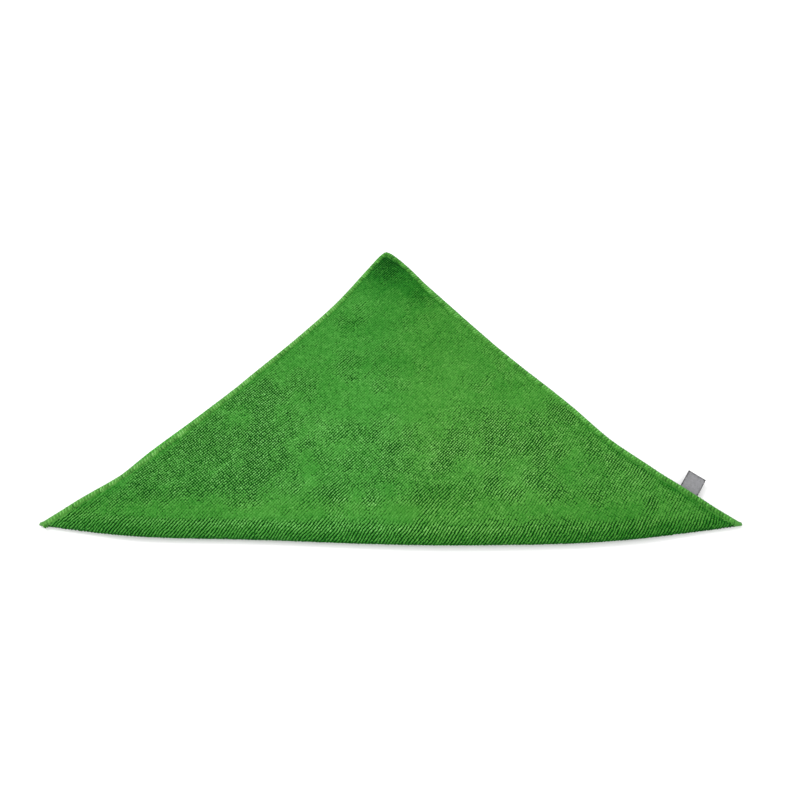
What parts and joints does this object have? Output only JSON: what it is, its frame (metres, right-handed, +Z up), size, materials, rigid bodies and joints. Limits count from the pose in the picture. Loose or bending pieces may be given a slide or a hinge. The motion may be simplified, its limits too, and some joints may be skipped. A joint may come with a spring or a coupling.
{
  "type": "folded microfibre cloth",
  "caption": "Square terry microfibre cloth folded once on its diagonal into a flat triangle, with overlocked hems and a blank satin flag label at one edge.",
  "frame": {"origin": "on the table, under the middle of the part's box", "axes": "+X along the fold towards the tip beside the label, +Y from the fold towards the apex, +Z up from the table"},
  "size_m": [0.5632, 0.2928, 0.0112],
  "materials": {
    "terry": "green looped microfibre pile in fine ribs, matt, with a smoother and lighter overlocked hem",
    "satin": "grey woven satin ribbon, slightly glossy, blank"
  },
  "bodies": {
    "root": {"cloth": "terry", "label": "satin"}
  },
  "joints": []
}
